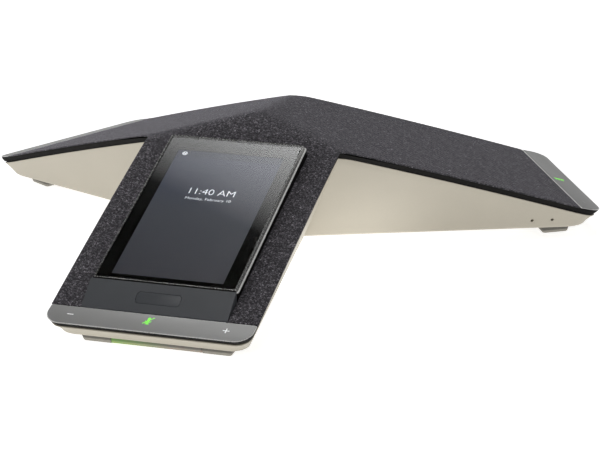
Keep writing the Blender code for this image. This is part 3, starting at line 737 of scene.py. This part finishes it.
# ---- the pieces ----
def make_housing():
    """The pale lower shell with its undercut walls, softened rim and rounded foot."""
    def on_floor(above):
        def along(u):
            return floor_along(u) + above
        return along, (lambda x, y: along(reach(x, y)))

    def up_wall(share, below=0.0):
        def along(u):
            low = floor_along(u) + FOOT_ROUND
            return low + (roof_along(u) - BAND - GAP - RIM_DROP - below - low) * share
        return along, (lambda x, y: along(reach(x, y)))

    loops = []
    for step in range(9):
        turn = math.radians(90 * step / 8)
        along, over = on_floor(FOOT_ROUND * (1 - math.cos(turn)))
        inset = 2.6 * (1 - math.sin(turn))
        length = ARM_LENGTH - 15.0 + 7.1 * math.sin(turn)
        outline = wall_outline(along, length, 7 + math.sin(turn), inset)
        loops.append(at_height(outline, over))
    for step in range(1, 11):
        share = step / 10
        along, over = up_wall(share, RIM_BEVEL)
        outline = wall_outline(along, ARM_LENGTH - 7.9 + 3.5 * share + share ** 2, 8.0)
        loops.append(at_height(outline, over))
    length = ARM_LENGTH - END_INSET
    for step in range(1, 4):
        turn = math.radians(90 * step / 3)
        inset = RIM_BEVEL * (1 - math.cos(turn))
        along, over = up_wall(1.0, RIM_BEVEL * (1 - math.sin(turn)))
        loops.append(at_height(wall_outline(along, length - inset, 8.0, inset), over))
    along, over = up_wall(1.0)
    loops.append(at_height(wall_outline(along, length - WALL, 6.0, WALL), over))
    along, over = on_floor(FLOOR + 1.0)
    loops.append(at_height(wall_outline(along, ARM_LENGTH - 11.5, 5.6, WALL), over))
    along, over = on_floor(FLOOR)
    loops.append(at_height(wall_outline(along, ARM_LENGTH - 13.5, 5.0, WALL + 1.0), over))
    shape = skin(loops, (0, 0, floor_along(0)), (0, 0, floor_along(0) + FLOOR))
    shell = to_object("housing_shell", shape, STAR)

    bay = BAY_HALF + BAY_WALL + GAP
    low, high = BAY_LOW - BAY_WALL - GAP, BAY_HIGH + BAY_WALL + GAP
    tools = [to_object("bay_cut", box(-bay, bay, BAY_DEPTH, 90, low, high), STAR)]
    for arm in ARM.values():
        for side in (-1, 1):
            head = floor_along(SCREW_OUT) + 1.3
            hole = [
                (0, -5), (3.9, -5), (3.9, floor_along(SCREW_OUT) - 0.02), (3.3, head - 0.8),
                (3.3, head), (1.8, head), (1.8, 14), (0, 14),
            ]
            at = place(arm, (SCREW_OUT, side * SCREW_ACROSS, 0))
            tools.append(to_object("screw_cut", lathe(hole), at))
    for u in (PINHOLES_OUT, PINHOLES_OUT + PINHOLE_PITCH):
        hole = [(0, -1.4), (0.95, -1.4), (0.95, -0.15), (1.25, 0.25), (1.25, 4), (0, 4)]
        at = place(
            ARM["right"], (u, -wall_half(u, PINHOLE_HEIGHT), PINHOLE_HEIGHT),
            math.pi / 2 + math.atan(UNDERCUT), "X",
        )
        tools.append(to_object("pinhole_cut", lathe(hole), at))
    cut(shell, tools)
    piece("housing_shell", shell, LOOKS["putty"], "base", ["lower_housing"], 40)


def make_rim():
    """The lid's lip, which shows black above the shell's rim."""
    length = ARM_LENGTH - END_INSET
    low, high = -0.9, RIM_DROP + 0.2
    loops = []
    for rise, inset in ((low, 0.7), (high, 0.7), (high, 1.9), (low, 1.9)):
        def along(u):
            return roof_along(u) - BAND - GAP - RIM_DROP + rise
        outline = wall_outline(along, length - inset, 8.0, inset)
        loops.append(at_height(outline, lambda x, y: along(reach(x, y))))
    piece("lid_lip", to_object("lip", skin(loops, closed=True), STAR), LOOKS["black"])


def display_cutters():
    """The opening in the cover for the display and the chin."""
    half = CHIN_HALF + GAP
    tray = box(-1.15 - GAP, DISPLAY_LENGTH + 2, -half, half, -40, 30)
    chin = box(CHIN_START - 4, CHIN_END + 0.2, -half, half, 5, 90)
    return [to_object("tray_cut", tray, DISPLAY), to_object("chin_cut", chin, ARM["front"])]


def make_cover():
    """The knitted cover: one thin sheet over the roof, with soft edges.

    It is made longer than the roof, and cut off straight where each bar begins."""
    length = ARM_LENGTH + 4
    outlines = [
        (star(HALF_ROOT - inset, HALF_TIP - inset, length, 2.0), drop)
        for inset, drop in ((0.45, 0.0), (0.18, 0.05), (0.04, 0.2), (0.0, 0.4))
    ]
    loops = []
    for step in range(1, 31):
        outline = scaled(outlines[0][0], step / 30)
        loops.append(at_height(outline, roof))
    for outline, drop in outlines[1:]:
        loops.append(at_height(outline, lambda x, y: roof(x, y) - drop))
    under = star(HALF_ROOT - 0.2, HALF_TIP - 0.2, length, 2.0)
    for step in range(8, 0, -1):
        loops.append(at_height(scaled(under, step / 8), lambda x, y: roof(x, y) - SKIN))
    shape = skin(loops, (0, 0, roof(0, 0)), (0, 0, roof(0, 0) - SKIN))
    cover = to_object("knit_cover", shape, STAR)
    end = ARM_LENGTH - BAR_DEPTH - GAP
    tools = display_cutters()
    for arm in ARM.values():
        tools.append(to_object("end_cut", box(end, 210, -75, 75, 0, 40), arm))
    cut(cover, tools)
    piece("knit_cover", cover, LOOKS["fabric"], "base", ["fabric_cover"], 40)


def slab(layers, closed=False):
    """A plate that follows the roof along one arm, from layers of (drop, outline)."""
    loops = [[(x, y, roof_along(x) - drop) for x, y in outline] for drop, outline in layers]
    return skin(loops, closed=closed)


def bar_outline(inset):
    start, end = ARM_LENGTH - BAR_DEPTH + inset, ARM_LENGTH - inset
    half, tip = half_width(ARM_LENGTH - BAR_DEPTH) - inset, HALF_TIP - inset
    corners = [(start, -half), (end, -tip), (end, tip), (start, half)]
    return rounded(corners, [0.8, TIP_RADIUS - inset, TIP_RADIUS - inset, 0.8], 20)


def stroke(a, b, width):
    """A bar with round ends between two points."""
    a, b = Vector(a), Vector(b)
    along = (b - a).normalized()
    side = Vector((-along.y, along.x)) * width / 2
    points = []
    for middle, direction in ((b, 1), (a, -1)):
        for step in range(7):
            turn = math.pi * step / 6 - math.pi / 2
            out = along * math.cos(turn) * width / 2 + side * math.sin(turn)
            points.append(tuple(middle + direction * out))
    return points


def mark(name, strokes, look, arm_name):
    """A mark printed on a touch bar, made of several strokes."""
    shapes = [slab([(MARK_SINK, outline), (-MARK_HEIGHT, outline)]) for outline in strokes]
    piece(f"{name}_{arm_name}", to_object(name, joined(*shapes), ARM[arm_name]), LOOKS[look])


def make_bar(arm_name):
    """A thin touch bar with a fine bright edge, and its three marks.

    The marks are unlit on the left bar, and only the front bar's minus and plus are lit; the
    unlit marks glow faintly with painted light."""
    arm = ARM[arm_name]
    steps = ((SKIN, 1.4), (0.42, 0.8), (0.34, 0.27), (0.28, 0.22), (0.03, 0.5), (0.0, 0.6))
    bar = to_object("bar", slab([(drop, bar_outline(inset)) for drop, inset in steps]), arm)
    node = f"touch_bar_{arm_name}"
    piece(f"bar_plate_{arm_name}", bar, LOOKS["bar"], "base", [node], 15)
    steps = ((0.30, 0.20), (0.02, 0.44), (-0.02, 0.50), (0.02, 0.62), (0.30, 0.62))
    edge = slab([(drop, bar_outline(inset)) for drop, inset in steps], closed=True)
    piece(f"bar_edge_{arm_name}", to_object("edge", edge, arm), LOOKS["trim"])

    lit = arm_name != "left"
    out, left, right = SIGNS_OUT, SIGNS_MIDDLE - SIGN_ACROSS, SIGNS_MIDDLE + SIGN_ACROSS
    minus = [stroke((out, left - 1.5), (out, left + 1.5), 0.5)]
    plus = [
        stroke((out, right - 1.6), (out, right + 1.6), 0.5),
        stroke((out - 1.6, right), (out + 1.6, right), 0.5),
    ]
    sign_look = "white_mark" if arm_name == "front" else "dim_mark"
    mark("minus_mark", minus, sign_look, arm_name)
    mark("plus_mark", plus, sign_look, arm_name)
    out, across = MUTE_OUT, SIGNS_MIDDLE
    microphone = [
        stroke((out - 1.9, across), (out + 0.1, across), 1.35),
        stroke((out + 1.4, across), (out + 2.5, across), 0.5),
        stroke((out + 2.5, across - 0.9), (out + 2.5, across + 0.9), 0.5),
    ]
    half_turn = [math.pi * (k / 8 - 0.5) for k in range(9)]
    cradle = [(out + 0.1 + 1.5 * math.cos(t), across + 1.5 * math.sin(t)) for t in half_turn]
    microphone += [stroke(a, b, 0.32) for a, b in zip(cradle, cradle[1:])]
    microphone.append(stroke((out - 2.6, across + 2.4), (out + 2.3, across - 2.4), 0.42))
    mark("mute_mark", microphone, "green_mark" if lit else "dim_mark", arm_name)


def make_display():
    """Cover glass over a black printed border, the screen's picture, the dark trim with its
    silver edge, and the gasket toward the chin."""
    length, half = DISPLAY_LENGTH, DISPLAY_HALF

    def pane(inset):
        edge = GAP + inset
        return rectangle(edge, length - edge, -half + edge, half - edge, 1.2)

    steps = ((0.15, -1.1), (0.0, -0.95), (0.0, -0.18), (0.06, -0.05), (0.18, 0.0))
    shape = skin([at_height(pane(inset), z) for inset, z in steps])
    sheet = to_object("glass", shape, DISPLAY)
    piece("glass_pane", sheet, LOOKS["glass"], "base", ["cover_glass"], 10)

    window = rectangle(PICTURE_TOP, PICTURE_END, -PICTURE_HALF, PICTURE_HALF, 0.4)
    border = pane(0.2)
    mask = skin([
        at_height(border, -1.14), at_height(window, -1.14),
        at_height(window, -1.22), at_height(border, -1.22),
    ], closed=True)
    piece("glass_mask", to_object("mask", mask, DISPLAY), LOOKS["mask"])

    panel = prism(rectangle(PANEL_START, PANEL_END, -PANEL_HALF, PANEL_HALF, 0.5), -3.4, -1.4)
    panel = to_object("lcd", panel, DISPLAY)
    piece("lcd_picture", panel, LOOKS["lcd"], "base", ["lcd_panel"])

    def ring(profile, name, look, end, replaces=()):
        loops = []
        for out, z, radius in profile:
            far = length + end + 0.15 * out
            loops.append(at_height(rectangle(-out, far, -half - out, half + out, radius), z))
        shape = to_object(name, skin(loops, closed=True), DISPLAY)
        piece(name, shape, LOOKS[look], "base", replaces, 25)

    ring([
        (0.0, -2.6, 1.4), (0.0, -0.1, 1.4), (0.06, 0.02, 1.5), (0.34, 0.05, 1.6),
        (1.02, -1.7, 2.0), (1.0, -1.8, 2.0), (0.85, -1.9, 2.0), (0.85, -2.6, 2.0),
    ], "trim_side", "trim_dark", 0.0, ["display_bezel"])
    ring([
        (0.95, -2.9, 2.0), (0.95, -1.95, 2.0), (1.1, -1.83, 2.0),
        (1.66, -2.4, 2.2), (1.66, -2.8, 2.2), (1.55, -2.9, 2.2),
    ], "silver_edge", "trim", -0.6)
    gasket = rectangle(length + 0.18, length + 0.32, -half - 0.9, half + 0.9, 0.05)
    gasket = to_object("gasket", prism(gasket, -2.4, -0.02), DISPLAY)
    piece("display_gasket", gasket, LOOKS["black"])


def lettering(name, text, size, along):
    """Generic figures, laid flat on the screen's picture under the glass."""
    curve = bpy.data.curves.new(name, "FONT")
    curve.body = text
    curve.size = size
    curve.align_x = "CENTER"
    curve.extrude = 0.02
    curve.offset = -0.012 * size
    words = bpy.data.objects.new(name, curve)
    bpy.context.scene.collection.objects.link(words)
    bpy.context.view_layer.update()
    mesh = bpy.data.meshes.new_from_object(words)
    bpy.data.objects.remove(words)
    bm = bmesh.new()
    bm.from_mesh(mesh)
    bpy.data.meshes.remove(mesh)
    upright = Matrix.Translation((along, 0, -1.36)) @ Matrix.Rotation(math.pi / 2, 4, "Z")
    piece(name, to_object(name, moved(bm, upright), DISPLAY), LOOKS["screen_white"])


def make_picture():
    """What the screen shows: a clock, a date and a small round sign."""
    lettering("clock_figures", "11:40 AM", 7.2, 49.6)
    lettering("date_figures", "Monday, February 10", 3.1, 54.6)
    rim = skin([
        at_height(circle(1.5), SIGN_LOW), at_height(circle(1.5), SIGN_HIGH),
        at_height(circle(1.1), SIGN_HIGH), at_height(circle(1.1), SIGN_LOW),
    ], closed=True)
    lines = (((-0.7, -0.5), (0.7, -0.5)), ((-0.7, 0.5), (0.7, 0.5)), ((0.0, -0.7), (0.0, 0.7)))
    inside = [prism(stroke(a, b, 0.35), SIGN_LOW, SIGN_HIGH) for a, b in lines]
    sign = moved(joined(rim, *inside), Matrix.Translation((14.8, -26.5, 0)))
    piece("round_sign", to_object("sign", sign, DISPLAY), LOOKS["screen_white"])


def make_chin():
    """The sloping cover below the display, and the home key in it."""
    low = roof_along(CHIN_END) - 3.1
    foot = roof_along(CHIN_START) - 3.1
    section = [
        (CHIN_START, foot), (CHIN_START, CHIN_TOP), (CHIN_KNEE, CHIN_KNEE_TOP),
        (CHIN_END, CHIN_LOW), (CHIN_END, low),
    ]
    chin = to_object("chin", extruded(section, CHIN_HALF), ARM["front"])
    drop = CHIN_WALL / math.cos(CHIN_TILT)
    start, end = CHIN_START + CHIN_WALL, CHIN_END - 1.2
    inside = [
        (start, foot - 9), (start, CHIN_TOP - drop - 0.9),
        (end, CHIN_LOW - drop + 1.2 * math.tan(CHIN_TILT)), (end, low - 9),
    ]
    hollow = to_object("hollow", extruded(inside, CHIN_HALF - CHIN_WALL), ARM["front"])
    half_w, half_l = BUTTON_WIDTH / 2, BUTTON_LENGTH / 2

    def face(inset, more=0.0, radius=2.0):
        w, l = half_w - inset, half_l - inset + more
        return rectangle(-w, w, -l, l, radius)

    tool = to_object("key_cut", prism(face(-KEY_GAP, radius=2.1), -9, 6), CHIN_FACE)
    cut(chin, [hollow, tool])
    soften_edges(chin, 0.25)
    piece("chin_cover", chin, LOOKS["chin"], "base", ["display_chin"], 30)

    flange = face(-1.0, 0.5)
    stem = rectangle(-1.5, 1.5, -1.5, 1.5, 1.0)
    under = -CHIN_WALL - GAP
    loops = [
        at_height(face(0.25), 0.0), at_height(face(0.08), -0.06), at_height(face(0.0), -0.25),
        at_height(face(0.0), under), at_height(flange, under),
        at_height(flange, under - 0.8), at_height(stem, under - 0.8),
        at_height(stem, under - 1.8),
    ]
    key = to_object("key", skin(loops), CHIN_FACE)
    piece("home_key", key, LOOKS["chin"], "home_button", ["home_button"], 30)


def make_foot(arm_name):
    """A tapered rubber strip with the status light's lens in its outer side."""
    top = floor_along(FOOT_END) - GAP
    loops = []
    for share, inset in ((0.0, 0.5), (0.04, 0.15), (0.12, 0.0), (1.0, 0.0)):
        half = FOOT_HALF + 1.6 * share - inset
        outline = rectangle(
            FOOT_START - 2.6 * share + inset, FOOT_END + share - inset, -half, half, 1.4)
        loops.append(at_height(outline, top * share - STAND * (1 - share)))
    arm = ARM[arm_name]
    foot = to_object("foot", skin(loops), arm)
    start = FOOT_END - LIGHT_DEPTH
    gap = LIGHT_HALF + GAP
    cut(foot, [to_object("light_cut", box(start - GAP, 190, -gap, gap, -2, 9), arm)])
    node = f"foot_{arm_name}"
    piece(f"foot_strip_{arm_name}", foot, LOOKS["foot"], "base", [node])

    low = 0.4 - STAND
    section = [(start, low), (FOOT_END + 0.1, low), (FOOT_END + 1.0, top), (start, top)]
    lens = to_object("lens", extruded(section, LIGHT_HALF), arm)
    soften_edges(lens, 0.2)
    lit = arm_name == "front"
    piece(
        f"light_lens_{arm_name}", lens, LOOKS["light_front" if lit else "light"], "base",
        [f"status_light_{arm_name}"])


def make_screws():
    """Case screws with rounded heads and a six-pointed recess."""
    low = floor_along(SCREW_OUT) + 0.15
    profile = [
        (0, low), (2.2, low), (2.75, low + 0.2), (2.9, low + 0.5), (2.9, low + 0.9),
        (1.25, low + 0.9), (1.25, 17.4), (0.8, 18), (0, 18),
    ]
    recess = []
    for turn in turns(24):
        radius = 1.25 + 0.22 * math.cos(6 * turn)
        recess.append((radius * math.cos(turn), radius * math.sin(turn)))
    for arm_name, arm in ARM.items():
        for side, letter in ((-1, "a"), (1, "b")):
            at = place(arm, (SCREW_OUT, side * SCREW_ACROSS, 0))
            screw = to_object("screw", lathe(profile), at)
            cut(screw, [to_object("recess", prism(recess, low - 1, low + 0.75), at)])
            name = f"screw_{arm_name}_{letter}"
            piece(name, screw, LOOKS["steel"], "base", [f"case_{name}"])


def make_contacts():
    """The sloping contacts and the tongues inside the rear sockets."""
    slope = place(Matrix.Identity(4), (0, 0, LAN_PIN_HEIGHT), -0.12, "X")
    pins = []
    for k in range(8):
        x = LAN_MIDDLE + (k - 3.5) * LAN_PITCH
        pins.append(moved(box(x - 0.2, x + 0.2, 20, 30.5, -0.15, 0.15), slope))
    piece("lan_contacts", to_object("pins", joined(*pins), STAR), LOOKS["gold"])
    for name, corners, width in (
        ("usb_a_tongue", (0.2, 10.2, 20.2, 31.5, 17.6, 19.2), 0.2),
        ("usb_c_tongue", (17.9, 24.1, 26.2, 31.8, 15.35, 16.05), 0.15),
    ):
        tongue = to_object("tongue", box(*corners), STAR)
        soften_edges(tongue, width)
        piece(name, tongue, LOOKS["black"])


# ---- stage, light and camera ----
def area_light(name, at, aim, size, power):
    """A rectangular light, turned by the rotation aim."""
    light = bpy.data.lights.new(name, "AREA")
    light.shape = "RECTANGLE"
    light.size, light.size_y = size
    light.energy = power
    lamp = bpy.data.objects.new(name, light)
    bpy.context.scene.collection.objects.link(lamp)
    lamp.matrix_world = Matrix.Translation(at) @ aim.to_4x4()
    return lamp


def facing(direction):
    """The rotation of a light or camera that looks in a direction."""
    return direction.to_track_quat("-Z", "Y").to_matrix()


def make_glare():
    """The softbox mirrored in the glass.

    Its near edge is what the camera sees at the glass's middle, and it grows dim toward it."""
    away = Vector(GLARE_TOWARD).normalized()
    aim = facing(-away) @ Matrix.Rotation(math.radians(GLARE_TURN), 3, "Z")
    at = Vector(GLASS_MIDDLE) + away * GLARE_DISTANCE + aim @ Vector((0, GLARE_SIZE / 2, 0))
    light = area_light("glare", at, aim, (GLARE_SIZE, GLARE_SIZE), GLARE_POWER).data
    light.use_nodes = True
    tree = light.node_tree
    spot = tree.nodes.new("ShaderNodeNewGeometry").outputs["Parametric"]
    parts = tree.nodes.new("ShaderNodeSeparateXYZ")
    tree.links.new(spot, parts.inputs[0])
    fade = tree.nodes.new("ShaderNodeMapRange")
    tree.links.new(parts.outputs[1], fade.inputs["Value"])
    fade.inputs["From Min"].default_value = 0.0
    fade.inputs["From Max"].default_value = GLARE_RAMP / GLARE_SIZE
    tree.links.new(fade.outputs[0], tree.nodes["Emission"].inputs["Strength"])


def make_floor():
    """White paper that glows, so that it stays white around the phone."""
    half = FLOOR_HALF / MM
    shape = box(-half, half, -half, half, -FLOOR_THICK / MM, 0)
    floor = to_object("floor", shape, Matrix.Identity(4))
    graph = Graph("floor_paper", Roughness=0.9)
    inputs = {0: graph.place, 1: FLOOR_SPOT_AT}
    away = graph.node("ShaderNodeVectorMath", inputs, operation="DISTANCE").outputs["Value"]
    glow = graph.spread(away, FLOOR_GLOW + FLOOR_SPOT, FLOOR_GLOW, *FLOOR_SPOT_SPAN)
    graph.set("Emission Strength", glow)
    tone = graph.noise(3.0, 2.0)
    graph.set("Base Color", graph.ramp(tone, (0.3, grey(0.86)), (0.7, grey(0.88))))
    graph.set("Emission Color", graph.ramp(tone, (0.3, grey(0.99)), (0.7, grey(1))))
    floor.data.materials.append(graph.material)


def make_lights():
    """A sky that is white low down, three lights and the softbox in the glass.

    The front lights stay out of the glossy reflections."""
    world = bpy.data.worlds.new("studio")
    bpy.context.scene.world = world
    world.use_nodes = True
    tree = world.node_tree
    background = tree.nodes["Background"]
    background.inputs["Strength"].default_value = WORLD_LIGHT
    place = tree.nodes.new("ShaderNodeTexCoord").outputs["Generated"]
    parts = tree.nodes.new("ShaderNodeSeparateXYZ")
    tree.links.new(place, parts.inputs[0])
    ramp = tree.nodes.new("ShaderNodeValToRGB")
    tree.links.new(parts.outputs[2], ramp.inputs[0])
    tree.links.new(ramp.outputs[0], background.inputs["Color"])
    set_stops(ramp.color_ramp, [(height, grey(level)) for height, level in SKY_STOPS])
    for name, (at, toward, size, power) in LIGHTS.items():
        lamp = area_light(name, at, facing(Vector(toward) - Vector(at)), size, power)
        lamp.visible_glossy = name == "overhead"
    make_glare()
    bpy.context.scene.view_settings.view_transform = "Standard"


def make_camera():
    data = bpy.data.cameras.new("camera")
    data.lens, data.sensor_width = VIEW_LENS, VIEW_SENSOR
    data.shift_x = VIEW_SHIFT
    camera = bpy.data.objects.new("camera", data)
    bpy.context.scene.collection.objects.link(camera)
    level = math.cos(VIEW_ELEVATION)
    away = Vector((
        math.sin(VIEW_AZIMUTH) * level, -math.cos(VIEW_AZIMUTH) * level,
        math.sin(VIEW_ELEVATION),
    ))
    camera.location = Vector(VIEW_TARGET) + away * VIEW_DISTANCE
    camera.rotation_euler = facing(-away).to_euler()
    bpy.context.scene.camera = camera


make_camera()
paint_frame()
make_housing()
make_rim()
make_cover()
for arm_name in ARM:
    make_bar(arm_name)
    make_foot(arm_name)
make_display()
make_picture()
make_chin()
make_screws()
make_contacts()
make_floor()
make_lights()
